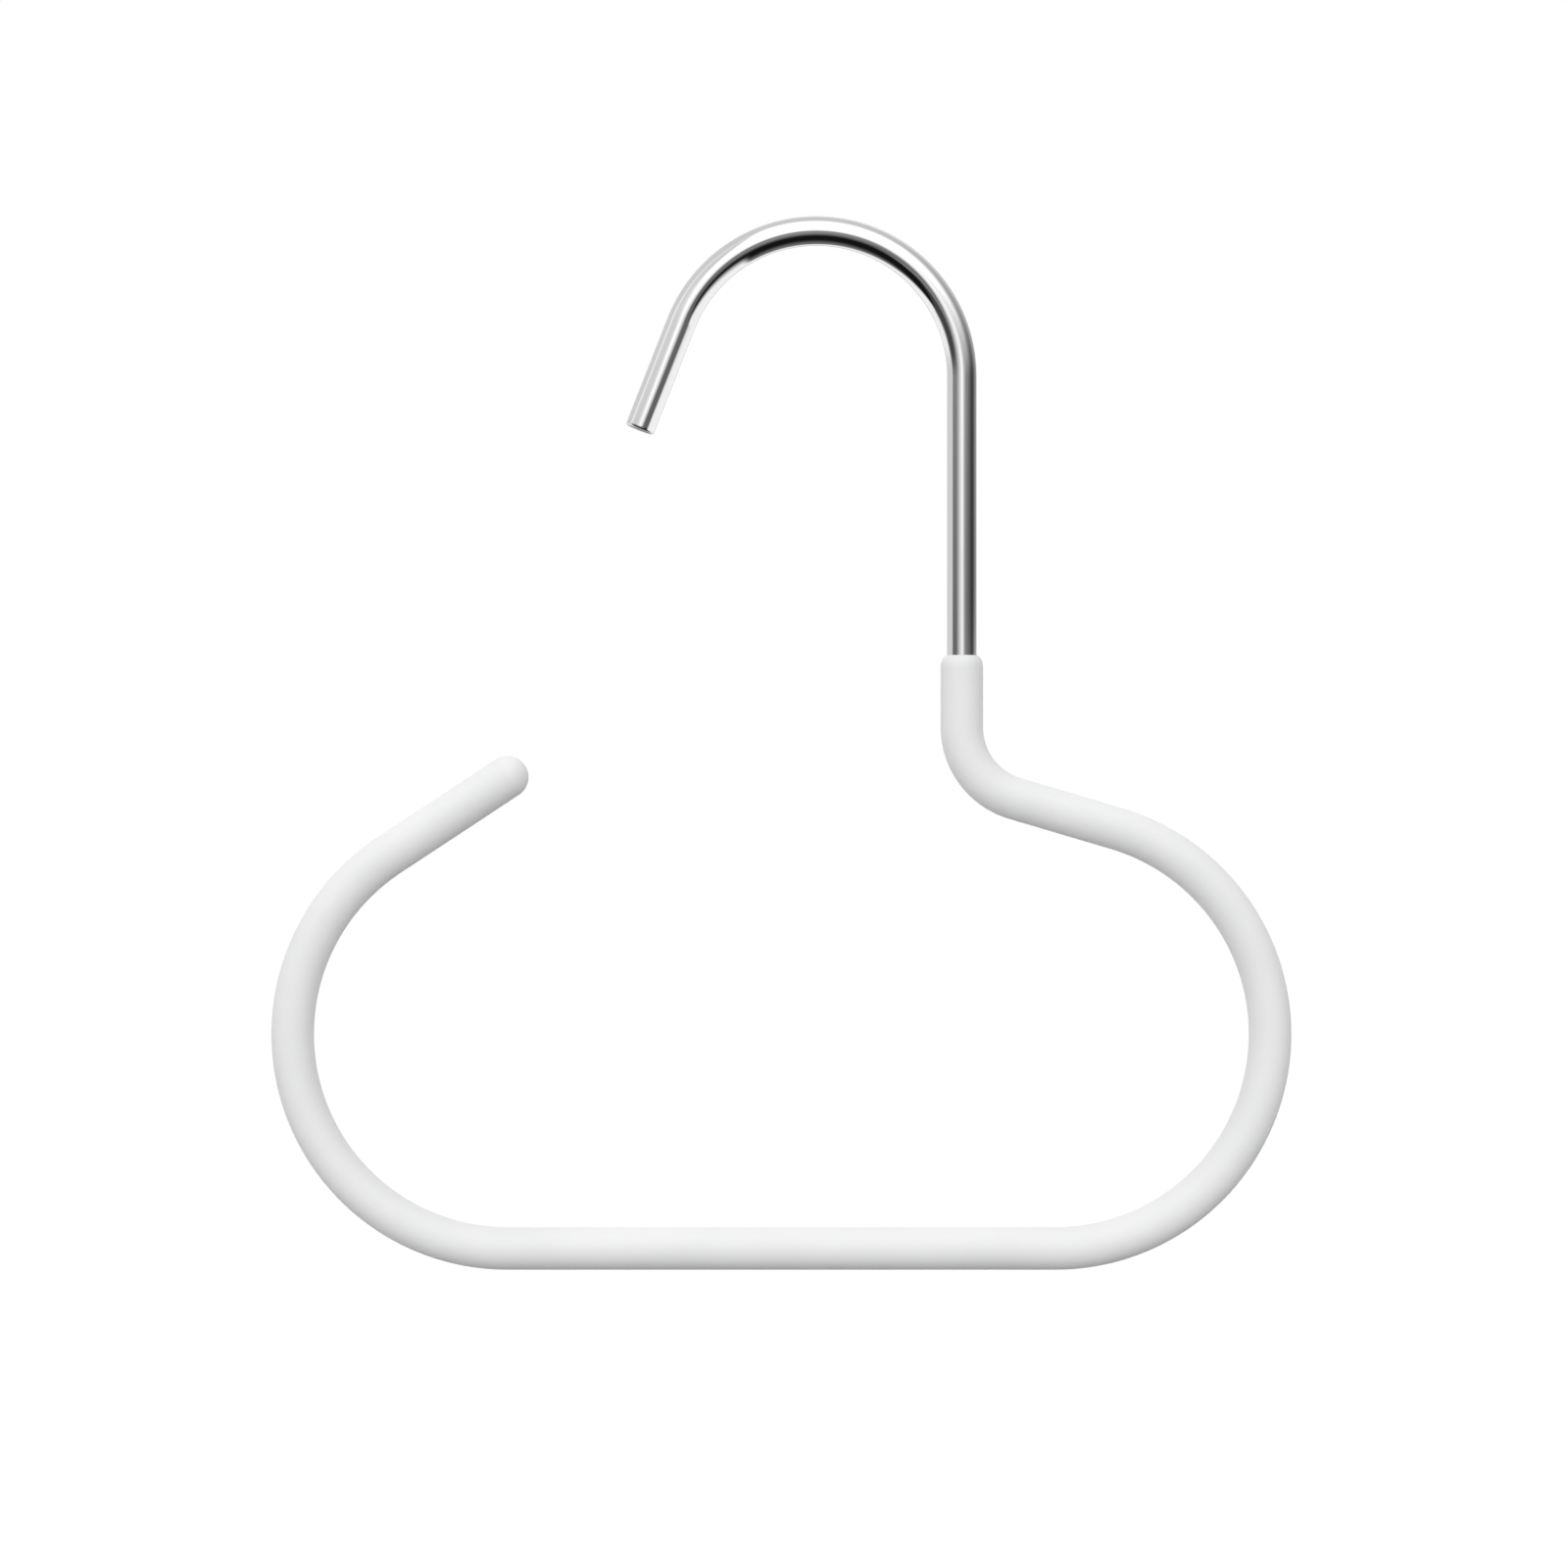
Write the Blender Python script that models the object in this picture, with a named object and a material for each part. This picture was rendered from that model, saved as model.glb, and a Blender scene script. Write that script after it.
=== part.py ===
"""A hat hanger: one bent chrome rod, with a soft white coating over everything below its neck.

The rod runs in the XZ plane in one piece. From the hook's cut end it goes round the arch and
down the shank. Below the coating's lip it turns out into a shoulder, rounds the right lobe,
follows the bar, rounds the left lobe and comes back up as a free arm. The coating covers it
from the lip to the closed, domed tip of the arm.

Lengths are in metres and angles in degrees, with +Z up. The origin is where the hook rests on
a rail: the top of the arch's inner side. Headings turn from +X towards +Z, and a left turn is
positive.
"""

import math

import bmesh
import bpy
from mathutils import Matrix, Vector

# Rod and coating
ROD_DIAMETER = 0.0045
COATED_DIAMETER = 0.0065
SEAT_CLEARANCE = 0.0003
ROD_END_ROUND = 0.0004

# Hook
HOOK_INNER_DIAMETER = 0.0400
HOOK_TIP_RUN = 0.0175
ARCH_TURN = 158.6
BARE_SHANK_LENGTH = 0.0427

# Coated body, sizes along the rod's centreline
NECK_RUN = 0.0110
NECK_BEND_RADIUS = 0.0114
SHOULDER_SLOPE = 16.5
SHOULDER_RUN = 0.0162
LOBE_RADIUS = 0.0328
BAR_LENGTH = 0.0840
ARM_SLOPE = 33.4
ARM_RUN = 0.0217

# The coating's lip: a narrow flat rim, then a rounded shoulder. A fullness of 2 is a quarter of an
# ellipse, and less is leaner.
LIP_RIM_WIDTH = 0.00012
LIP_LENGTH = 0.0019
LIP_FULLNESS = 1.6

# Fineness of the surfaces
ROD_SIDES = 24
BEND_STEP = 6.0
DOME_RINGS = 6
LIP_RINGS = 5
ROUND_STEPS = 3

# Sizes that follow from those above
ROD_RADIUS = ROD_DIAMETER / 2
COATED_RADIUS = COATED_DIAMETER / 2
BORE_RADIUS = ROD_RADIUS + SEAT_CLEARANCE
LIP_RIM_RADIUS = BORE_RADIUS + LIP_RIM_WIDTH
ARCH_INNER_RADIUS = HOOK_INNER_DIAMETER / 2
ARCH_RADIUS = ARCH_INNER_RADIUS + ROD_RADIUS

# Headings and turns that follow from the slopes
DOWN = -90.0
HALF_TURN = 180.0
QUARTER_TURN = 90.0
HOOK_TIP_HEADING = DOWN + ARCH_TURN
NECK_TURN = QUARTER_TURN - SHOULDER_SLOPE
RIGHT_LOBE_TURN = HALF_TURN - SHOULDER_SLOPE
LEFT_LOBE_TURN = HALF_TURN - ARM_SLOPE

# The arch's centre and the middle of the coating's lip, which are the two pieces' origins
ARCH_CENTRE = Vector((0, 0, -ARCH_INNER_RADIUS))
LIP_CENTRE = ARCH_CENTRE + Vector((ARCH_RADIUS, 0, -BARE_SHANK_LENGTH))

CHROME_COLOUR = (0.80, 0.80, 0.81, 1.0)
CHROME_ROUGHNESS = 0.06
COATING_COLOUR = (0.86, 0.86, 0.85, 1.0)
COATING_ROUGHNESS = 0.55

TURN_AXIS = Vector((0, -1, 0))
SMOOTH_BELOW = math.radians(40)


def along(heading):
    """The unit vector in the XZ plane that points along a heading."""
    angle = math.radians(heading)
    return Vector((math.cos(angle), 0, math.sin(angle)))


class Sweep:
    """Carries a ring of edges along the centreline, leaving a round skin behind it."""

    def __init__(self, mesh, ring, radius, place, heading):
        self.mesh = mesh
        self.ring = ring
        self.radius = radius
        self.place = place.copy()
        self.heading = heading

    def run(self, length, end_radius=None):
        """Goes straight on, tapering to the end radius where one is given."""
        made = bmesh.ops.extrude_edge_only(self.mesh, edges=self.ring)
        verts = [item for item in made["geom"] if isinstance(item, bmesh.types.BMVert)]
        step = along(self.heading) * length
        bmesh.ops.translate(self.mesh, verts=verts, vec=step)
        self.place += step
        if end_radius is not None:
            taper = end_radius / self.radius
            about_centre = Matrix.Translation(-self.place)
            bmesh.ops.scale(self.mesh, verts=verts, vec=(taper, taper, taper), space=about_centre)
            self.radius = end_radius
        self.ring = edges_among(verts)

    def bend(self, radius, turn):
        """Goes round an arc of the centreline, to the left where the turn is positive."""
        side = math.copysign(QUARTER_TURN, turn)
        centre = self.place + along(self.heading + side) * radius
        made = bmesh.ops.spin(
            self.mesh,
            geom=self.ring,
            cent=centre,
            axis=TURN_AXIS,
            angle=math.radians(turn),
            steps=max(1, round(abs(turn) / BEND_STEP)),
            use_duplicate=False,
        )
        self.ring = [item for item in made["geom_last"] if isinstance(item, bmesh.types.BMEdge)]
        self.heading += turn
        self.place = centre - along(self.heading + side) * radius

    def open_up(self, length, end_radius):
        """Widens along the lip's rounded shoulder, which ends along the rod."""
        start = self.radius
        reached = 0
        for number in range(1, LIP_RINGS + 1):
            climb = math.radians(QUARTER_TURN * number / LIP_RINGS)
            ahead = 1 - math.cos(climb)
            across = math.sin(climb) ** (2 / LIP_FULLNESS)
            self.run((ahead - reached) * length, start + (end_radius - start) * across)
            reached = ahead

    def dome(self):
        """Ends the skin in a hemisphere, closed at its pole."""
        radius = self.radius
        climb_step = math.radians(QUARTER_TURN / DOME_RINGS)
        for number in range(1, DOME_RINGS):
            low, high = (number - 1) * climb_step, number * climb_step
            self.run(radius * (math.sin(high) - math.sin(low)), radius * math.cos(high))
        self.run(radius * (1 - math.cos(climb_step)))
        tip = list({vert for edge in self.ring for vert in edge.verts})
        bmesh.ops.pointmerge(self.mesh, verts=tip, merge_co=self.place)

    def close(self):
        """Fills the ring with a flat end."""
        bmesh.ops.edgeloop_fill(self.mesh, edges=self.ring)


def circle(mesh, radius, place, heading):
    """A ring of edges round a place on the centreline, square to the heading."""
    square_on = Matrix.Rotation(math.radians(QUARTER_TURN - heading), 4, "Y")
    made = bmesh.ops.create_circle(
        mesh,
        cap_ends=False,
        radius=radius,
        segments=ROD_SIDES,
        matrix=Matrix.Translation(place) @ square_on,
    )
    return edges_among(made["verts"])


def edges_among(verts):
    """The edges that join these vertices to each other."""
    chosen = set(verts)
    return list({edge for vert in verts for edge in vert.link_edges if set(edge.verts) <= chosen})


def round_off(mesh, ring, radius):
    """Rounds the edge where a wall meets a flat end."""
    bmesh.ops.bevel(
        mesh,
        geom=ring,
        affect="EDGES",
        offset=radius,
        segments=ROUND_STEPS,
        profile=0.5,
        material=-1,
    )


def follow_coated_stretch(sweep, done=0):
    """Carries a sweep that is done below the lip already to the middle of the arm's domed tip."""
    sweep.run(NECK_RUN - done)
    sweep.bend(NECK_BEND_RADIUS, NECK_TURN)
    sweep.run(SHOULDER_RUN)
    sweep.bend(LOBE_RADIUS, -RIGHT_LOBE_TURN)
    sweep.run(BAR_LENGTH)
    sweep.bend(LOBE_RADIUS, -LEFT_LOBE_TURN)
    sweep.run(ARM_RUN)


def principled(name, colour, metallic, roughness):
    """A plain Principled material."""
    material = bpy.data.materials.new(name)
    material.use_nodes = True
    shader = material.node_tree.nodes["Principled BSDF"]
    shader.inputs["Base Color"].default_value = colour
    shader.inputs["Metallic"].default_value = metallic
    shader.inputs["Roughness"].default_value = roughness
    material.diffuse_color = colour
    return material


def finish(name, mesh, place, parent, material):
    """Turns the bmesh into a named, smooth-shaded object at its place under the parent."""
    bmesh.ops.recalc_face_normals(mesh, faces=mesh.faces)
    data = bpy.data.meshes.new(name)
    mesh.to_mesh(data)
    mesh.free()
    data.shade_smooth()
    data.set_sharp_from_angle(angle=SMOOTH_BELOW)
    data.materials.append(material)
    piece = bpy.data.objects.new(name, data)
    piece.location = place
    piece.parent = parent
    bpy.context.scene.collection.objects.link(piece)
    return piece


def make_hook_rod(parent):
    """The steel rod: hook, shank and the core in the coating, measured from the arch's centre."""
    arch_start = along(HOOK_TIP_HEADING + QUARTER_TURN) * ARCH_RADIUS
    cut_end = arch_start - along(HOOK_TIP_HEADING) * HOOK_TIP_RUN
    mesh = bmesh.new()
    hook_end = circle(mesh, ROD_RADIUS, cut_end, HOOK_TIP_HEADING)
    bmesh.ops.edgeloop_fill(mesh, edges=hook_end)
    rod = Sweep(mesh, hook_end, ROD_RADIUS, cut_end, HOOK_TIP_HEADING)
    rod.run(HOOK_TIP_RUN)
    rod.bend(ARCH_RADIUS, -ARCH_TURN)
    rod.run(BARE_SHANK_LENGTH)
    follow_coated_stretch(rod)
    rod.close()
    for ring in (hook_end, rod.ring):
        round_off(mesh, ring, ROD_END_ROUND)
    chrome = principled("chrome", CHROME_COLOUR, 1.0, CHROME_ROUGHNESS)
    return finish("hook_rod", mesh, ARCH_CENTRE, parent, chrome)


def make_body_coating(parent):
    """The soft coating: a thin tube with a rounded lip and a domed end, measured from its lip."""
    mesh = bmesh.new()
    rim = circle(mesh, LIP_RIM_RADIUS, Vector(), DOWN)
    skin = Sweep(mesh, rim, LIP_RIM_RADIUS, Vector(), DOWN)
    skin.open_up(LIP_LENGTH, COATED_RADIUS)
    follow_coated_stretch(skin, LIP_LENGTH)
    skin.dome()
    bore = Sweep(mesh, rim, LIP_RIM_RADIUS, Vector(), DOWN)
    bore.run(0, BORE_RADIUS)
    follow_coated_stretch(bore)
    bore.run(SEAT_CLEARANCE)
    bore.close()
    white = principled("soft_white_coating", COATING_COLOUR, 0.0, COATING_ROUGHNESS)
    return finish("body_coating", mesh, LIP_CENTRE, parent, white)


def main():
    """Clears the scene and builds the hanger under one empty at the rail's contact point."""
    for item in list(bpy.data.objects):
        bpy.data.objects.remove(item, do_unlink=True)
    rail_seat = bpy.data.objects.new("rail_seat", None)
    bpy.context.scene.collection.objects.link(rail_seat)
    make_hook_rod(rail_seat)
    make_body_coating(rail_seat)


main()
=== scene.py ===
"""The looks of a hat hanger: a bent chrome rod, and the soft white coating over its lower part.

The rod lies in the XZ plane. It starts at the hook's cut end, goes round the arch and down the
shank, and runs on inside the coating round the right lobe, the bar and the left lobe to the tip
of the free arm. Both pieces are swept along that one route, and both carry an attribute that
gives each point's place on the rod as if the rod were straight, so that their finishes follow
the bends.

Lengths are in metres and angles in degrees. The origin is the top of the hook's inner side.
Headings turn from +X towards +Z, and a left turn is positive.
"""

from __future__ import annotations

import logging
import math
from collections.abc import Callable, Mapping, Sequence
from dataclasses import dataclass
from enum import Enum
from typing import NamedTuple

import bmesh
import bpy
from mathutils import Matrix, Vector


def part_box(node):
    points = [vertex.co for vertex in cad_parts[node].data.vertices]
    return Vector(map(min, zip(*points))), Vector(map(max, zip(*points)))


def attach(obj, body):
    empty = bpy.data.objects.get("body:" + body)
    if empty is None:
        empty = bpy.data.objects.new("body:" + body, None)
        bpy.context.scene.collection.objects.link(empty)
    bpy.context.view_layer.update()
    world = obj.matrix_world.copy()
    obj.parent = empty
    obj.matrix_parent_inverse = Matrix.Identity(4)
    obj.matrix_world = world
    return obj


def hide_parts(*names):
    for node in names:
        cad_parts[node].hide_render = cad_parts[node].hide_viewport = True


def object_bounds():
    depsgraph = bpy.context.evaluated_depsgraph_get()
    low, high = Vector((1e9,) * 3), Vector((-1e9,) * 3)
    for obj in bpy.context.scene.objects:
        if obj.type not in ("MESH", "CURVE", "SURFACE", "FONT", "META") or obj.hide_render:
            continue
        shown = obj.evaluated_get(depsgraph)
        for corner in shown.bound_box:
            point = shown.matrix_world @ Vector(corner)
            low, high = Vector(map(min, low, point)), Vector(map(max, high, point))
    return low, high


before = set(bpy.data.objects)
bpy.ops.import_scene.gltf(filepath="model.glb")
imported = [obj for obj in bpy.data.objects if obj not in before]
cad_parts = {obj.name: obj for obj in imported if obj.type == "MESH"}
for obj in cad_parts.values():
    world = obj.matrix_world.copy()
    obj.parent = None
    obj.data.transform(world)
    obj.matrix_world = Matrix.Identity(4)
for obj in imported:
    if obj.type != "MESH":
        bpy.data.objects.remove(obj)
CAD_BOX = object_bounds()

LOG = logging.getLogger("hat_hanger")

Colour = tuple[float, float, float]
Edge = tuple[float, float]

QUARTER_TURN = 90.0
HALF_TURN = 180.0
DOWN = -90.0
TURN_AXIS = Vector((0, -1, 0))
STRAIGHTENED = "place_on_straight_rod"
POLE_SHARE = 0.02
SHORT_STEP = 0.0001
LONG_STEP = 0.003
WHITE: Colour = (1.0, 1.0, 1.0)
BLACK: Colour = (0.0, 0.0, 0.0)


class Solid(Enum):
    """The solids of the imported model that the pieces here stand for."""

    ROD = "hook_rod"
    COATING = "body_coating"


class Slot(Enum):
    """The record's material slots."""

    CHROME = "chrome"
    COATING = "soft_white_coating"


class Detail(Enum):
    """How much finer structure a noise has inside its own grain."""

    LITTLE = 1.0
    SOME = 2.0
    MUCH = 3.0


def along(heading: float) -> Vector:
    """The unit vector in the XZ plane that points along a heading."""
    angle = math.radians(heading)
    return Vector((math.cos(angle), 0, math.sin(angle)))


def thickness(solid: Solid) -> float:
    """A solid's extent across the hanger's plane, which is the rod's or the coating's diameter."""
    low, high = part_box(solid.value)
    return high.y - low.y


class Signal:
    """A value socket that takes part in Python expressions, each of which adds its Math nodes."""

    def __init__(self, bench: NodeBench, socket: bpy.types.NodeSocket) -> None:
        """Keeps the socket and the bench that its expressions are built on."""
        self.bench = bench
        self.socket = socket

    def __add__(self, other: Signal | float) -> Signal:
        """The sum."""
        return self.bench.math("ADD", self, other)

    def __radd__(self, other: float) -> Signal:
        """The sum, with the number first."""
        return self.bench.math("ADD", other, self)

    def __sub__(self, other: Signal | float) -> Signal:
        """The difference."""
        return self.bench.math("SUBTRACT", self, other)

    def __rsub__(self, other: float) -> Signal:
        """The difference from a number."""
        return self.bench.math("SUBTRACT", other, self)

    def __mul__(self, other: Signal | float) -> Signal:
        """The product."""
        return self.bench.math("MULTIPLY", self, other)

    def __rmul__(self, other: float) -> Signal:
        """The product, with the number first."""
        return self.bench.math("MULTIPLY", other, self)

    def __truediv__(self, other: Signal | float) -> Signal:
        """The quotient."""
        return self.bench.math("DIVIDE", self, other)

    def __rtruediv__(self, other: float) -> Signal:
        """A number's quotient by the value."""
        return self.bench.math("DIVIDE", other, self)

    def __neg__(self) -> Signal:
        """The value with its sign turned."""
        return self.bench.math("MULTIPLY", self, -1.0)


class NodeBench:
    """Builds one material's or world's node tree."""

    def __init__(self, tree: bpy.types.NodeTree) -> None:
        """Starts on an emptied tree."""
        self.tree = tree
        tree.nodes.clear()

    def node(
        self,
        kind: str,
        settings: Mapping[str, object] | None = None,
        inputs: Mapping[str | int, object] | None = None,
    ) -> bpy.types.Node:
        """Adds a node.

        Args:
            kind: The node's type.
            settings: The node's own properties, set before its sockets are.
            inputs: A value, a socket or a signal for each socket that is named or numbered.

        Returns:
            The node.
        """
        made = self.tree.nodes.new(kind)
        for name, value in (settings or {}).items():
            setattr(made, name, value)
        for key, value in (inputs or {}).items():
            if isinstance(value, Signal):
                value = value.socket
            if isinstance(value, bpy.types.NodeSocket):
                self.tree.links.new(value, made.inputs[key])
            else:
                made.inputs[key].default_value = value
        return made

    def signal(
        self,
        kind: str,
        settings: Mapping[str, object] | None = None,
        inputs: Mapping[str | int, object] | None = None,
        output: str | int = 0,
    ) -> Signal:
        """Adds a node and gives one of its outputs as a signal."""
        return Signal(self, self.node(kind, settings, inputs).outputs[output])

    def math(self, operation: str, *values: Signal | float) -> Signal:
        """One Math node on two values."""
        return self.signal("ShaderNodeMath", {"operation": operation}, dict(enumerate(values)))

    def rise(self, value: Signal, edge: Edge) -> Signal:
        """A smooth step.

        Args:
            value: What is measured.
            edge: Where the step starts and where it ends.

        Returns:
            0 below the edge and 1 above it.
        """
        settings = {"interpolation_type": "SMOOTHSTEP"}
        inputs = {"Value": value, "From Min": edge[0], "From Max": edge[1]}
        return self.signal("ShaderNodeMapRange", settings, inputs)

    def fall(self, value: Signal, edge: Edge) -> Signal:
        """A smooth step from 1 below the edge to 0 above it."""
        return 1 - self.rise(value, edge)

    def blend(self, value: Signal | float, towards: Signal | float, mask: Signal) -> Signal:
        """The value, taken towards another where the mask rises to 1."""
        return value + (towards - value) * mask

    def noise(self, place: bpy.types.NodeSocket, grain: float, detail: Detail) -> Signal:
        """Noise from 0 to 1 whose features are about as large as the grain."""
        inputs = {"Vector": place, "Scale": 1 / grain, "Detail": detail.value}
        return self.signal("ShaderNodeTexNoise", None, inputs, "Fac")

    def stretched(self, place: bpy.types.NodeSocket, by: float) -> bpy.types.NodeSocket:
        """The place with the rod's length drawn out, so that a pattern there runs along the rod."""
        inputs = {0: place, 1: (1.0, 1.0, 1 / by)}
        return self.node("ShaderNodeVectorMath", {"operation": "MULTIPLY"}, inputs).outputs[0]

    def two_tone(
        self,
        first: Colour | bpy.types.NodeSocket,
        second: Colour,
        mask: Signal,
    ) -> bpy.types.NodeSocket:
        """Mixes two colours.

        Args:
            first: The colour where the mask is 0.
            second: The colour where it is 1.
            mask: The mask.

        Returns:
            The mixed colour's socket.
        """
        start = first if isinstance(first, bpy.types.NodeSocket) else (*first, 1.0)
        inputs = {"Factor": mask, "A": start, "B": (*second, 1.0)}
        return self.node("ShaderNodeMix", {"data_type": "RGBA"}, inputs).outputs["Result"]

    def relief(self, height: Signal, depth: float) -> bpy.types.NodeSocket:
        """A normal for a surface whose height goes from 0 to 1 over the depth."""
        inputs = {"Strength": 1.0, "Distance": depth, "Height": height}
        return self.node("ShaderNodeBump", None, inputs).outputs["Normal"]

    def straightened(self) -> bpy.types.NodeSocket:
        """The point's place on the rod as if it were straight, with the way along it as z."""
        settings = {"attribute_name": STRAIGHTENED}
        return self.node("ShaderNodeAttribute", settings).outputs["Vector"]

    def way_along(self) -> Signal:
        """How far along its piece's centreline a point is."""
        return self.signal("ShaderNodeSeparateXYZ", None, {0: self.straightened()}, "Z")

    def surface(self, inputs: Mapping[str, object]) -> None:
        """Ends a material's tree with one Principled shader that has these inputs."""
        shader = self.node("ShaderNodeBsdfPrincipled", None, inputs)
        self.node("ShaderNodeOutputMaterial", None, {"Surface": shader.outputs[0]})


@dataclass(frozen=True)
class ChromePlate:
    """Bright chrome plating on drawn rod, a little duller on the cut and deburred end."""

    colour: Colour = (0.82, 0.82, 0.825)
    clouded_colour: Colour = (0.79, 0.795, 0.805)
    end_colour: Colour = (0.72, 0.72, 0.73)
    roughness: float = 0.035
    drawn_roughness: float = 0.03
    clouded_roughness: float = 0.03
    end_roughness: float = 0.16
    drawn_grain: float = 0.00035
    drawn_length: float = 60.0
    drawn_share: float = 0.1
    cloud_grain: float = 0.009
    cloud_edge: Edge = (0.45, 0.75)
    ripple_grain: float = 0.0016
    ripple_depth: float = 0.0000006
    saw_grain: float = 0.00012
    saw_share: float = 8.0
    end_reach: float = 0.00018

    def material(self) -> bpy.types.Material:
        """Makes the plating's material.

        Returns:
            The material.
        """
        made = bpy.data.materials.new("bright_chrome")
        made.use_nodes = True
        bench = NodeBench(made.node_tree)
        place = bench.straightened()
        lengthwise = bench.stretched(place, self.drawn_length)
        drawn = bench.noise(lengthwise, self.drawn_grain, Detail.SOME)
        clouded = bench.rise(bench.noise(place, self.cloud_grain, Detail.MUCH), self.cloud_edge)
        end = bench.fall(bench.way_along(), (self.end_reach, 2 * self.end_reach))
        plated = bench.two_tone(self.colour, self.clouded_colour, clouded)
        worn = self.roughness + drawn * self.drawn_roughness + clouded * self.clouded_roughness
        ripple = bench.noise(place, self.ripple_grain, Detail.LITTLE)
        sawn = bench.noise(place, self.saw_grain, Detail.SOME) * end
        height = ripple + drawn * self.drawn_share + sawn * self.saw_share
        bench.surface(
            {
                "Base Color": bench.two_tone(plated, self.end_colour, end),
                "Metallic": 1.0,
                "Roughness": bench.blend(worn, self.end_roughness, end),
                "Normal": bench.relief(height, self.ripple_depth),
            }
        )
        return made


@dataclass(frozen=True)
class SoftCoating:
    """A soft, matt, dipped coating: a close grain over faint swells."""

    colour: Colour = (0.865, 0.866, 0.868)
    clouded_colour: Colour = (0.845, 0.847, 0.85)
    cloud_grain: float = 0.012
    cloud_edge: Edge = (0.35, 0.70)
    roughness: float = 0.56
    grain_roughness: float = 0.12
    grain: float = 0.00022
    grain_depth: float = 0.000010
    swell_grain: float = 0.0022
    swell_share: float = 0.9
    gloss: float = 0.3
    sheen: float = 0.03
    sheen_roughness: float = 0.5
    softness: float = 0.10
    light_reach: float = 0.0008

    def material(self) -> bpy.types.Material:
        """Makes the coating's material.

        Returns:
            The material.
        """
        made = bpy.data.materials.new("soft_matt_white")
        made.use_nodes = True
        bench = NodeBench(made.node_tree)
        place = bench.straightened()
        clouded = bench.rise(bench.noise(place, self.cloud_grain, Detail.MUCH), self.cloud_edge)
        grain = bench.noise(place, self.grain, Detail.MUCH)
        swell = bench.noise(place, self.swell_grain, Detail.LITTLE)
        bench.surface(
            {
                "Base Color": bench.two_tone(self.colour, self.clouded_colour, clouded),
                "Roughness": self.roughness + grain * self.grain_roughness,
                "Normal": bench.relief(grain + swell * self.swell_share, self.grain_depth),
                "Specular IOR Level": self.gloss,
                "Sheen Weight": self.sheen,
                "Sheen Roughness": self.sheen_roughness,
                "Subsurface Weight": self.softness,
                "Subsurface Radius": WHITE,
                "Subsurface Scale": self.light_reach,
            }
        )
        return made


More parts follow.
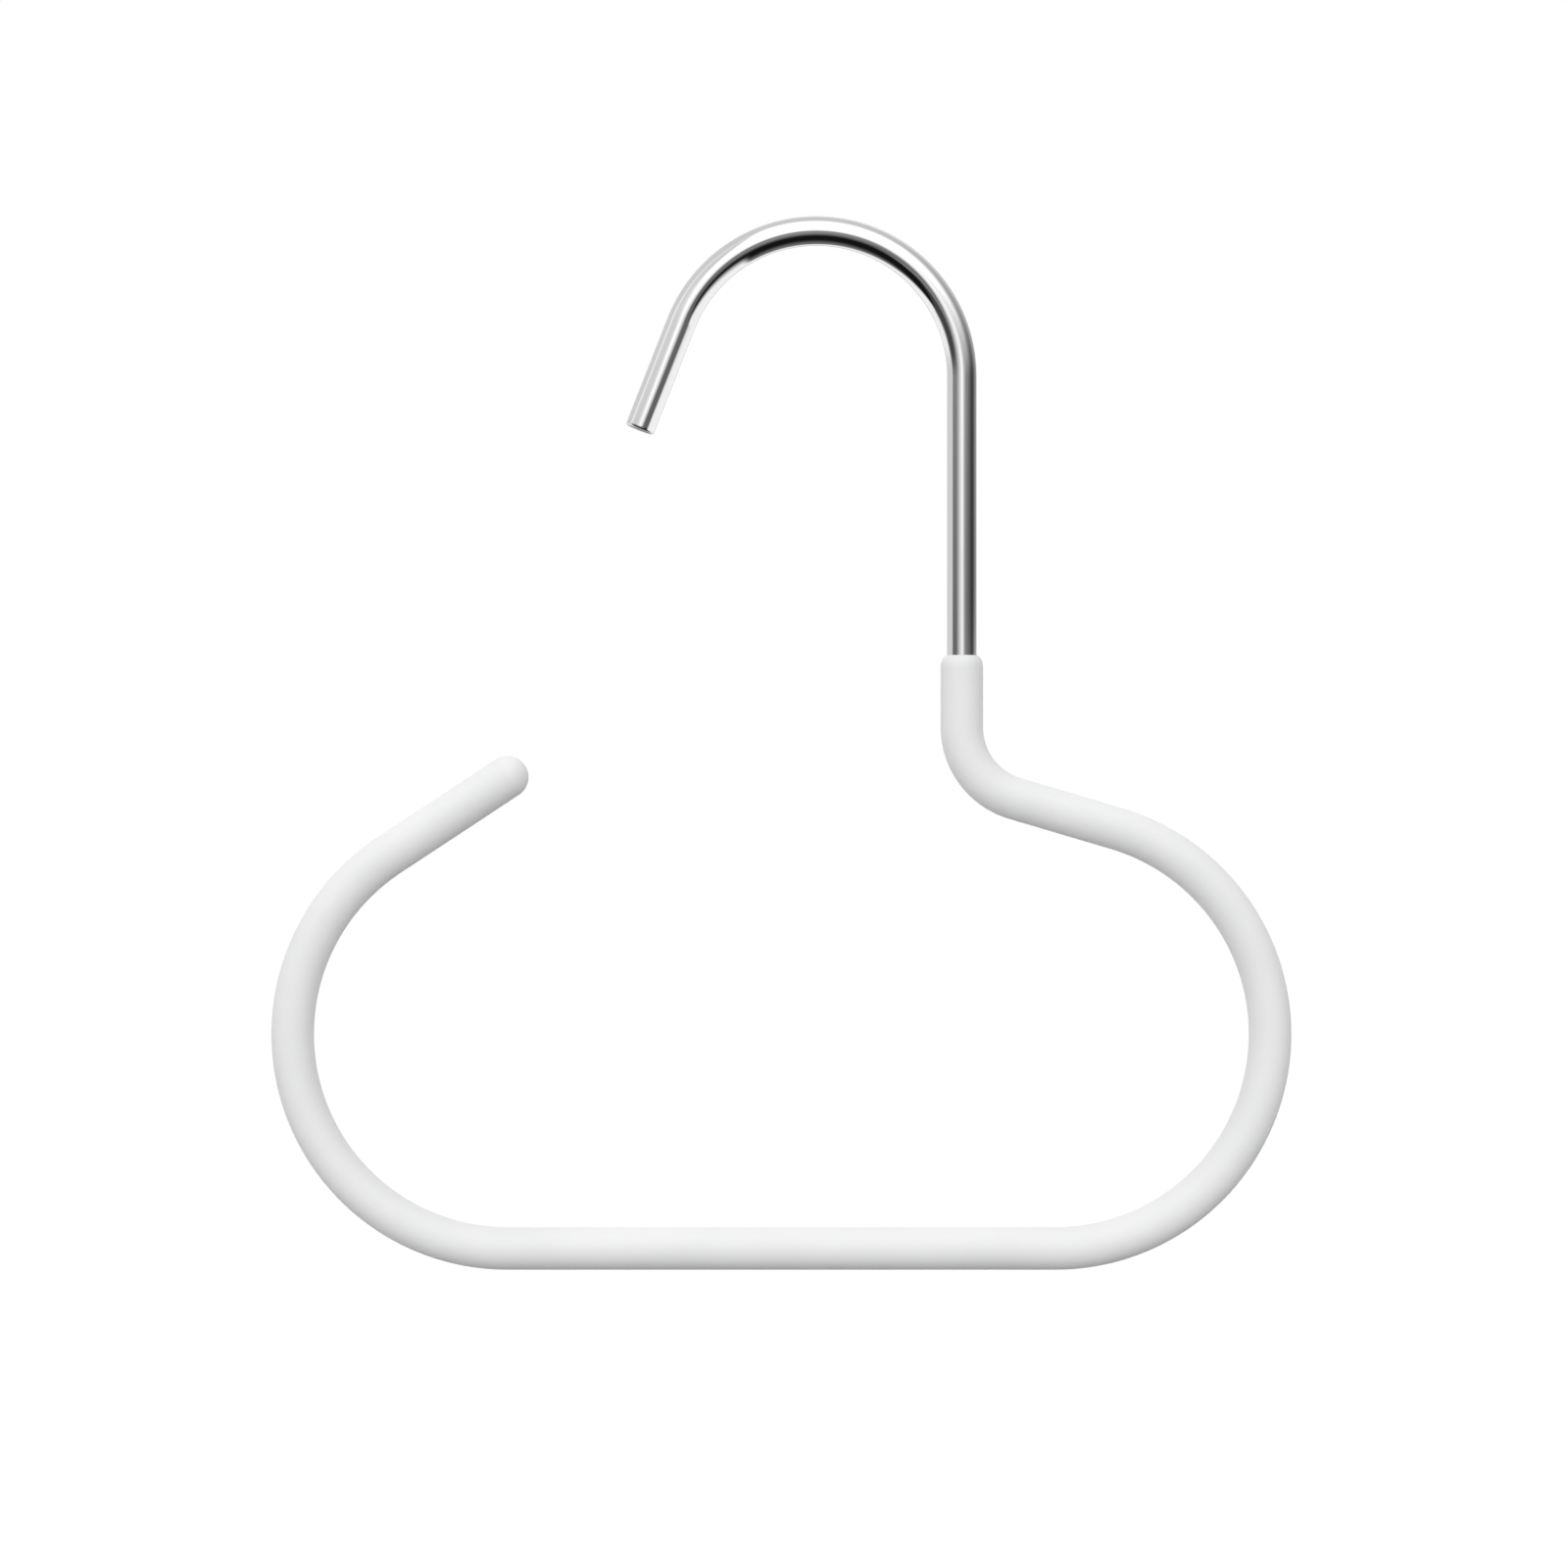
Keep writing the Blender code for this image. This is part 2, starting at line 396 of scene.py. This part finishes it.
class Sweep:
    """Carries a ring of edges along the centreline, leaving a round skin behind it."""

    def __init__(
        self,
        mesh: bmesh.types.BMesh,
        ring: list[bmesh.types.BMEdge],
        radius: float,
        place: Vector,
        heading: float,
        bend_step: float,
    ) -> None:
        """Takes up a ring.

        Args:
            mesh: The mesh that the ring is part of.
            ring: The ring's edges.
            radius: The ring's radius.
            place: The ring's centre.
            heading: The way that the ring faces.
            bend_step: The turn between two rings in a bend, at most.
        """
        self.mesh = mesh
        self.ring = ring
        self.radius = radius
        self.place = place.copy()
        self.heading = heading
        self.bend_step = bend_step
        self.gone = 0.0
        layers = mesh.verts.layers.float_vector
        self.straightened = layers.get(STRAIGHTENED) or layers.new(STRAIGHTENED)
        self.note({vert for edge in ring for vert in edge.verts})

    def note(self, verts: set[bmesh.types.BMVert]) -> None:
        """Writes down where these vertices would be if the rod were straight.

        Args:
            verts: The vertices of the ring that the sweep has come to.
        """
        side = along(self.heading + QUARTER_TURN)
        for vert in verts:
            across = (vert.co - self.place).dot(side)
            vert[self.straightened] = Vector((across, vert.co.y, self.gone))

    def run(self, length: float, end_radius: float | None = None) -> None:
        """Goes straight on.

        Args:
            length: How far.
            end_radius: The radius that the skin tapers to, where it changes.
        """
        made = bmesh.ops.extrude_edge_only(self.mesh, edges=self.ring)
        verts = [item for item in made["geom"] if isinstance(item, bmesh.types.BMVert)]
        step = along(self.heading) * length
        bmesh.ops.translate(self.mesh, verts=verts, vec=step)
        self.place += step
        self.gone += length
        if end_radius is not None:
            taper = end_radius / self.radius
            about_centre = Matrix.Translation(-self.place)
            bmesh.ops.scale(self.mesh, verts=verts, vec=(taper, taper, taper), space=about_centre)
            self.radius = end_radius
        self.ring = edges_among(verts)
        self.note(set(verts))

    def straight(self, length: float) -> None:
        """Goes straight on in even steps, after and before a short one at each end.

        The short steps keep the shading of the curved stretches off the straight one.

        Args:
            length: How far.
        """
        between = length - 2 * SHORT_STEP
        steps = math.ceil(between / LONG_STEP)
        self.run(SHORT_STEP)
        for _ in range(steps):
            self.run(between / steps)
        self.run(SHORT_STEP)

    def bend(self, radius: float, turn: float) -> None:
        """Goes round an arc of the centreline.

        Args:
            radius: The arc's radius at the rod's middle.
            turn: The angle, to the left where it is positive.
        """
        side = math.copysign(QUARTER_TURN, turn)
        centre = self.place + along(self.heading + side) * radius
        steps = math.ceil(abs(turn) / self.bend_step)
        for _ in range(steps):
            made = bmesh.ops.spin(
                self.mesh,
                geom=self.ring,
                cent=centre,
                axis=TURN_AXIS,
                angle=math.radians(turn / steps),
                steps=1,
                use_duplicate=False,
            )
            last = made["geom_last"]
            self.ring = [item for item in last if isinstance(item, bmesh.types.BMEdge)]
            self.heading += turn / steps
            self.place = centre - along(self.heading + side) * radius
            self.gone += radius * math.radians(abs(turn) / steps)
            self.note({vert for edge in self.ring for vert in edge.verts})

    def open_up(self, length: float, end_radius: float, rings: int, fullness: float = 2.0) -> None:
        """Widens along a rounded shoulder that ends along the rod.

        Args:
            length: The shoulder's length along the rod.
            end_radius: The radius that the skin ends with.
            rings: The number of rings that it takes.
            fullness: 2 for a quarter of an ellipse, and less for a leaner, more tapered shoulder.
        """
        start = self.radius
        reached = 0.0
        for number in range(1, rings + 1):
            climb = math.radians(QUARTER_TURN * number / rings)
            ahead = 1 - math.cos(climb)
            across = math.sin(climb) ** (2 / fullness)
            self.run((ahead - reached) * length, start + (end_radius - start) * across)
            reached = ahead

    def dome(self, rings: int) -> None:
        """Ends the skin in half a ball, with a flat too small to see at its pole.

        Args:
            rings: The number of rings that it takes.
        """
        radius = self.radius
        reached = 0.0
        for number in range(1, rings):
            climb = math.radians(QUARTER_TURN * number / rings)
            self.run((math.sin(climb) - reached) * radius, radius * math.cos(climb))
            reached = math.sin(climb)
        self.run((1 - reached) * radius, radius * POLE_SHARE)
        self.close()

    def close(self) -> None:
        """Fills the ring with a flat end."""
        bmesh.ops.edgeloop_fill(self.mesh, edges=self.ring)


def edges_among(verts: Sequence[bmesh.types.BMVert]) -> list[bmesh.types.BMEdge]:
    """Finds the edges that join these vertices to each other.

    Args:
        verts: The vertices.

    Returns:
        The edges, once each, in an order that doesn't change from run to run.
    """
    chosen = set(verts)
    joining = [edge for vert in verts for edge in vert.link_edges if set(edge.verts) <= chosen]
    return list(dict.fromkeys(joining))


def circle(
    mesh: bmesh.types.BMesh,
    radius: float,
    place: Vector,
    heading: float,
    sides: int,
    filled: bool,
) -> list[bmesh.types.BMEdge]:
    """Makes a ring round a place on the centreline, square to a heading.

    Args:
        mesh: The mesh to make it in.
        radius: The ring's radius.
        place: Its centre.
        heading: The way that it faces.
        sides: The number of its edges.
        filled: True for a flat face of triangles inside it.

    Returns:
        The ring's edges.
    """
    square_on = Matrix.Rotation(math.radians(QUARTER_TURN - heading), 4, "Y")
    made = bmesh.ops.create_circle(
        mesh,
        cap_ends=filled,
        cap_tris=filled,
        radius=radius,
        segments=sides,
        matrix=Matrix.Translation(place) @ square_on,
    )
    rim = [vert for vert in made["verts"] if (vert.co - place).length > radius / 2]
    return edges_among(rim)


@dataclass(frozen=True)
class Route:
    """The rod's centreline. All sizes are along or about the middle of the rod."""

    rod_radius: float
    hook_inner_radius: float = 0.0200
    tip_run: float = 0.0175
    arch_turn: float = 158.6
    bare_shank: float = 0.0427
    neck_run: float = 0.0110
    neck_radius: float = 0.0114
    shoulder_slope: float = 16.5
    shoulder_run: float = 0.0162
    lobe_radius: float = 0.0328
    bar_length: float = 0.0840
    arm_slope: float = 33.4
    arm_run: float = 0.0217

    @property
    def arch_radius(self) -> float:
        """The arch's radius at the rod's middle."""
        return self.hook_inner_radius + self.rod_radius

    @property
    def arch_centre(self) -> Vector:
        """The middle of the arch."""
        return Vector((0, 0, -self.hook_inner_radius))

    @property
    def tip_heading(self) -> float:
        """The rod's heading at the cut end."""
        return DOWN + self.arch_turn

    @property
    def cut_end(self) -> Vector:
        """The middle of the cut end."""
        arch_start = along(self.tip_heading + QUARTER_TURN) * self.arch_radius
        return self.arch_centre + arch_start - along(self.tip_heading) * self.tip_run

    @property
    def lip(self) -> Vector:
        """The place on the centreline where the coating starts."""
        return self.arch_centre + Vector((self.arch_radius, 0, -self.bare_shank))

    def follow_hook(self, sweep: Sweep) -> None:
        """Takes a sweep from the cut end's rounded edge to the coating's lip.

        Args:
            sweep: The sweep.
        """
        sweep.straight(self.tip_run - sweep.gone)
        sweep.bend(self.arch_radius, -self.arch_turn)
        sweep.straight(self.bare_shank)

    def follow_body(self, sweep: Sweep, done: float = 0.0) -> None:
        """Takes a sweep from the lip to the middle of the arm's domed tip.

        Args:
            sweep: The sweep.
            done: How far below the lip it is already.
        """
        sweep.straight(self.neck_run - done)
        sweep.bend(self.neck_radius, QUARTER_TURN - self.shoulder_slope)
        sweep.straight(self.shoulder_run)
        sweep.bend(self.lobe_radius, self.shoulder_slope - HALF_TURN)
        sweep.straight(self.bar_length)
        sweep.bend(self.lobe_radius, self.arm_slope - HALF_TURN)
        sweep.straight(self.arm_run)


def finished(
    name: str,
    mesh: bmesh.types.BMesh,
    material: bpy.types.Material,
    solid: Solid,
    sharp_from: float,
) -> bpy.types.Object:
    """Makes a piece of a closed mesh, and puts it in the place of a solid.

    Args:
        name: The piece's name.
        mesh: Its mesh, in the hanger's own frame. It is freed.
        material: Its finish.
        solid: The solid that it stands for.
        sharp_from: The angle from which an edge is sharp.

    Returns:
        The piece.
    """
    bmesh.ops.recalc_face_normals(mesh, faces=mesh.faces)
    data = bpy.data.meshes.new(name)
    mesh.to_mesh(data)
    mesh.free()
    data.shade_smooth()
    data.set_sharp_from_angle(angle=math.radians(sharp_from))
    data.materials.append(material)
    piece = bpy.data.objects.new(name, data)
    # The cards round the hanger stand for all that the chrome shows, the hanger itself too
    piece.visible_glossy = False
    bpy.context.scene.collection.objects.link(piece)
    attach(piece, "root")
    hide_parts(solid.value)
    return piece


@dataclass
class HookRod:
    """The bent steel rod: hook, shank and the core inside the coating."""

    route: Route
    finish: ChromePlate
    end_round: float = 0.0004
    end_rings: int = 6
    sides: int = 64
    bend_step: float = 2.0
    sharp_from: float = 60.0

    def build(self) -> bpy.types.Object:
        """Sweeps the rod from its cut end to the hidden end in the arm.

        Returns:
            The rod.
        """
        route, radius = self.route, self.route.rod_radius
        mesh = bmesh.new()
        flat = radius - self.end_round
        face = circle(mesh, flat, route.cut_end, route.tip_heading, self.sides, True)
        rod = Sweep(mesh, face, flat, route.cut_end, route.tip_heading, self.bend_step)
        rod.open_up(self.end_round, radius, self.end_rings)
        route.follow_hook(rod)
        route.follow_body(rod)
        rod.close()
        return finished(
            "bent_chrome_rod",
            mesh,
            self.finish.material(),
            Solid.ROD,
            self.sharp_from,
        )


@dataclass
class BodyCoating:
    """The coating: a tube that grips the rod, with a rolled lip and a domed tip."""

    route: Route
    finish: SoftCoating
    outer_radius: float
    fit: float = 0.00001
    lip_rim: float = 0.00012
    lip_length: float = 0.0019
    lip_fullness: float = 1.6
    lip_rings: int = 14
    dome_rings: int = 14
    sides: int = 72
    bend_step: float = 2.0
    sharp_from: float = 70.0

    def build(self) -> bpy.types.Object:
        """Sweeps the outer skin from the lip to the dome, and the bore from the lip to its end.

        Returns:
            The coating.
        """
        route = self.route
        bore_radius = route.rod_radius + self.fit
        rim_radius = route.rod_radius + self.lip_rim
        mesh = bmesh.new()
        rim = circle(mesh, rim_radius, route.lip, DOWN, self.sides, False)
        skin = Sweep(mesh, rim, rim_radius, route.lip, DOWN, self.bend_step)
        skin.open_up(self.lip_length, self.outer_radius, self.lip_rings, self.lip_fullness)
        route.follow_body(skin, self.lip_length)
        skin.dome(self.dome_rings)
        bore = Sweep(mesh, rim, rim_radius, route.lip, DOWN, self.bend_step)
        bore.run(0.0, bore_radius)
        route.follow_body(bore)
        bore.close()
        return finished(
            "soft_white_coating",
            mesh,
            self.finish.material(),
            Solid.COATING,
            self.sharp_from,
        )


class Direction(NamedTuple):
    """The direction that the surround is seen in, as its parts to the right, back and up."""

    x: Signal
    y: Signal
    z: Signal


@dataclass(frozen=True)
class Card:
    """A card at eye level, which fades in over its side and its foot, and out over the others."""

    level: float
    side: Edge
    foot: Edge
    back: Edge | None = None
    top: Edge | None = None
    share: float = 1.0

    def laid_over(
        self,
        bench: NodeBench,
        level: Signal,
        outwards: Signal,
        way: Direction,
    ) -> Signal:
        """Stands the card in front of what is there.

        Args:
            bench: The world's bench.
            level: The level without the card.
            outwards: The direction's part towards the card.
            way: The whole direction.

        Returns:
            The level with the card.
        """
        mask = bench.rise(outwards, self.side)
        if self.back:
            mask = mask * bench.fall(way.y, self.back)
        mask = mask * bench.rise(way.z, self.foot)
        if self.top:
            mask = mask * bench.fall(way.z, self.top)
        return bench.blend(level, self.level, mask * self.share)


@dataclass(frozen=True)
class Surround:
    """What stands round the hanger: white to the camera, soft light, and cards that chrome shows.

    The cards are laid out by the directions that they fill: those above and below on a level
    plane one unit away, and those at eye level by the direction's own parts. An edge is the
    stretch over which a card fades in, and a level is a brightness, where 1 is white.
    """

    backdrop: float = 1.0
    ambient: float = 0.7296
    light_from_right: float = -0.1132
    light_from_above: float = 0.4730
    light_from_sides: float = -0.5063
    light_from_poles: float = -0.2217
    ceiling: float = 0.764
    ceiling_front: float = 1.532
    ceiling_front_edge: Edge = (0.024, 0.666)
    ceiling_front_slant: float = 0.086
    ceiling_back: float = 0.416
    ceiling_back_edge: Edge = (0.624, 0.704)
    ceiling_back_slant: float = -0.326
    softbox: float = 1.599
    softbox_right: Edge = (-1.81, -0.501)
    softbox_back: Edge = (-0.135, -0.055)
    horizon: Edge = (-0.138, 0.055)
    sweep: float = 1.058
    sweep_edge: Edge = (0.643, 1.345)
    sweep_slant: float = 0.608
    side_card_left: Edge = (0.632, 0.764)
    side_card_front: Edge = (-0.385, 1.045)
    side_card_slant: float = 0.719
    pit: float = 0.008
    pit_rise: float = 0.18
    pit_rise_edge: Edge = (-0.29, 0.618)
    glow: float = 1.6
    glow_edge: Edge = (0.663, 1.698)
    left_glow: float = 1.593
    left_glow_side: Edge = (0.259, 0.799)
    left_glow_front: Edge = (0.731, 0.811)
    right_flag: Card = Card(
        level=0.144,
        side=(-0.248, 0.521),
        foot=(-0.292, -0.212),
        back=(0.113, 0.193),
        top=(-0.151, 0.489),
    )
    shade: Card = Card(
        level=0.0,
        side=(-1.119, 1.557),
        foot=(-0.032, 0.048),
        top=(-0.16, 1.412),
    )
    left_flag: Card = Card(
        level=0.064,
        side=(-0.153, 0.81),
        foot=(-0.462, -0.382),
        back=(-0.318, 0.204),
        top=(-0.098, 0.742),
    )
    left_card: Card = Card(
        level=0.491,
        side=(0.257, 0.391),
        foot=(0.089, 0.655),
        back=(-0.599, 0.268),
        share=0.854,
    )
    behind_card: Card = Card(level=0.2, side=(0.91, 0.985), foot=(-0.38, -0.24))
    nearly_level: float = 0.02

    def build(self) -> bpy.types.World:
        """Makes the world and gives it to the scene.

        Returns:
            The world.
        """
        world = bpy.data.worlds.new("studio_surround")
        world.use_nodes = True
        bench = NodeBench(world.node_tree)
        direction = bench.node("ShaderNodeTexCoord").outputs["Generated"]
        parts = bench.node("ShaderNodeSeparateXYZ", None, {0: direction})
        way = Direction(*(Signal(bench, parts.outputs[axis]) for axis in "XYZ"))
        path = bench.node("ShaderNodeLightPath")
        camera = Signal(bench, path.outputs["Is Camera Ray"])
        glossy = Signal(bench, path.outputs["Is Glossy Ray"])
        clear = Signal(bench, path.outputs["Is Transmission Ray"])
        mirrored = bench.math("MAXIMUM", glossy, clear)
        level = bench.blend(self.light(bench, way), self.reflected(bench, way), mirrored)
        strength = bench.blend(level, self.backdrop, camera)
        inputs = {"Color": (*WHITE, 1.0), "Strength": strength}
        shader = bench.node("ShaderNodeBackground", None, inputs)
        bench.node("ShaderNodeOutputWorld", None, {"Surface": shader.outputs[0]})
        bpy.context.scene.world = world
        return world

    def light(self, bench: NodeBench, way: Direction) -> Signal:
        """The soft light on matt surfaces: strong from above, in front and behind.

        Args:
            bench: The world's bench.
            way: The direction that it comes from.

        Returns:
            Its level there.
        """
        x, y, z = way
        level = self.ambient + x * self.light_from_right + z * self.light_from_above
        level = level + (x * x - y * y) * self.light_from_sides
        level = level + (z * z * 3 - 1) * self.light_from_poles
        return bench.math("MAXIMUM", level, 0.0)

    def reflected(self, bench: NodeBench, way: Direction) -> Signal:
        """The ceiling, the sweep under the hanger and the cards beside it, as chrome shows them.

        Args:
            bench: The world's bench.
            way: The direction that is looked in.

        Returns:
            The level there.
        """
        above = self.overhead(bench, way)
        below = self.underneath(bench, way)
        level = bench.blend(below, above, bench.rise(way.z, self.horizon))
        return self.beside(bench, level, way)

    def overhead(self, bench: NodeBench, way: Direction) -> Signal:
        """A pale ceiling, brighter in front, with a softbox on the left.

        Args:
            bench: The world's bench.
            way: The direction that is looked in.

        Returns:
            The level there.
        """
        x, y, z = way
        height = bench.math("MAXIMUM", z, self.nearly_level)
        right, back = x / height, y / height
        front = bench.rise(-y - x * self.ceiling_front_slant, self.ceiling_front_edge)
        behind = bench.rise(y - x * self.ceiling_back_slant, self.ceiling_back_edge)
        level = self.ceiling + front * self.ceiling_front + behind * self.ceiling_back
        box = bench.fall(right, self.softbox_right) * bench.fall(back, self.softbox_back)
        return bench.blend(level, self.softbox, box)

    def underneath(self, bench: NodeBench, way: Direction) -> Signal:
        """A white sweep behind and to the right, round a dark pit that is lighter in front.

        Args:
            bench: The world's bench.
            way: The direction that is looked in.

        Returns:
            The level there.
        """
        x, y, z = way
        depth = bench.math("MAXIMUM", -z, self.nearly_level)
        right, back = x / depth, y / depth
        leftwards = bench.math("MAXIMUM", -right, 0.0)
        far = bench.rise(back + leftwards * self.sweep_slant, self.sweep_edge)
        card = bench.rise(back + right * self.side_card_slant, self.side_card_front)
        white = 1 - (1 - far) * (1 - card * bench.rise(right, self.side_card_left))
        pit = self.pit + bench.rise(back, self.pit_rise_edge) * self.pit_rise
        pit = pit + bench.rise(-y, self.glow_edge) * self.glow
        left_glow = bench.rise(-x, self.left_glow_side) * bench.rise(-y, self.left_glow_front)
        return bench.blend(pit + left_glow * self.left_glow, self.sweep, white)

    def beside(self, bench: NodeBench, level: Signal, way: Direction) -> Signal:
        """Dark flags at eye level, a soft shade over the right one, and cards left and behind.

        Args:
            bench: The world's bench.
            level: The level of what is above and below.
            way: The direction that is looked in.

        Returns:
            The level with the cards in front of that.
        """
        cards = (
            (self.right_flag, way.x),
            (self.shade, way.x),
            (self.left_flag, -way.x),
            (self.left_card, -way.x),
            (self.behind_card, way.y),
        )
        for card, outwards in cards:
            level = card.laid_over(bench, level, outwards, way)
        return level


@dataclass(frozen=True)
class Camera:
    """The photograph's camera, which looks straight at the flat of the hanger.

    The pixel values are places in the 1600 by 1600 photograph.
    """

    picture_px: float = 1600.0
    arch_centre_px: tuple[float, float] = (833.1, 384.0)
    metres_per_px: float = 0.00015
    lens_mm: float = 100.0
    sensor_mm: float = 36.0

    def build(self, arch_centre: Vector) -> bpy.types.Object:
        """Puts the camera where the arch and the scale come out as in the photograph.

        Args:
            arch_centre: The middle of the hook's arch.

        Returns:
            The camera.
        """
        data = bpy.data.cameras.new("camera")
        data.lens = self.lens_mm
        data.sensor_width = self.sensor_mm
        camera = bpy.data.objects.new("camera", data)
        middle = self.picture_px / 2
        right = (middle - self.arch_centre_px[0]) * self.metres_per_px
        up = (self.arch_centre_px[1] - middle) * self.metres_per_px
        away = self.picture_px * self.metres_per_px * self.lens_mm / self.sensor_mm
        camera.location = arch_centre + Vector((right, -away, up))
        camera.rotation_euler = (math.radians(QUARTER_TURN), 0, 0)
        bpy.context.scene.collection.objects.link(camera)
        bpy.context.scene.camera = camera
        return camera


@dataclass(frozen=True)
class SoftLamp:
    """A broad, far lamp above the hanger, which draws the soft shadow on the floor."""

    towards: tuple[float, float, float] = (-0.12, 0.05, 1.0)
    spread: float = 16.0
    power: float = 0.377

    def build(self) -> bpy.types.Object:
        """Hangs the lamp. Chrome doesn't show it, because the cards stand for all that it shows.

        Returns:
            The lamp.
        """
        data = bpy.data.lights.new("overhead_lamp", "SUN")
        data.angle = math.radians(self.spread)
        data.energy = self.power
        lamp = bpy.data.objects.new("overhead_lamp", data)
        lamp.rotation_euler = Vector(self.towards).to_track_quat("Z", "Y").to_euler()
        lamp.visible_glossy = False
        bpy.context.scene.collection.objects.link(lamp)
        return lamp


@dataclass(frozen=True)
class PaleFloor:
    """A plain pale floor under the hanging hanger, which keeps the hanger's soft shadow."""

    radius: float = 4.0
    below: float = 0.065
    sides: int = 96
    colour: Colour = (0.90, 0.90, 0.90)
    roughness: float = 0.8
    lift: Colour = (0.07, 0.07, 0.07)

    def build(self) -> bpy.types.Object:
        """Lays the floor below the hanger's lowest point.

        Returns:
            The floor.
        """
        mesh = bmesh.new()
        bmesh.ops.create_circle(
            mesh,
            cap_ends=True,
            radius=self.radius,
            segments=self.sides,
            matrix=Matrix.Translation((0, 0, CAD_BOX[0].z - self.below)),
        )
        data = bpy.data.meshes.new("floor")
        mesh.to_mesh(data)
        mesh.free()
        data.materials.append(self.material())
        floor = bpy.data.objects.new("floor", data)
        floor.visible_diffuse = False
        floor.visible_glossy = False
        floor.visible_transmission = False
        floor.visible_shadow = False
        bpy.context.scene.collection.objects.link(floor)
        return floor

    def material(self) -> bpy.types.Material:
        """Makes a matt pale surface, lifted to white for the camera alone.

        Returns:
            The material.
        """
        made = bpy.data.materials.new("pale_floor")
        made.use_nodes = True
        bench = NodeBench(made.node_tree)
        camera = bench.signal("ShaderNodeLightPath", None, None, "Is Camera Ray")
        bench.surface(
            {
                "Base Color": (*self.colour, 1.0),
                "Roughness": self.roughness,
                "Specular IOR Level": 0.0,
                "Emission Color": bench.two_tone(BLACK, self.lift, camera),
                "Emission Strength": 1.0,
            }
        )
        return made


def reported(what: str, build: Callable[[], bpy.types.Object]) -> bpy.types.Object:
    """Builds a piece and says how large it came out.

    Args:
        what: What the piece is.
        build: What builds it.

    Returns:
        The piece.
    """
    piece = build()
    LOG.info("%s: %s, %d faces", what, piece.name, len(piece.data.polygons))
    return piece


def main() -> None:
    """Builds the hanger's pieces, then the studio round them."""
    logging.basicConfig(level=logging.INFO, format="%(message)s")
    bpy.context.scene.view_settings.view_transform = "Standard"
    route = Route(rod_radius=thickness(Solid.ROD) / 2)
    rod = HookRod(route, ChromePlate())
    coating = BodyCoating(route, SoftCoating(), thickness(Solid.COATING) / 2)
    reported("rod", rod.build)
    reported("coating", coating.build)

    Camera().build(route.arch_centre)
    Surround().build()
    PaleFloor().build()
    SoftLamp().build()


if __name__ == "__main__":
    main()
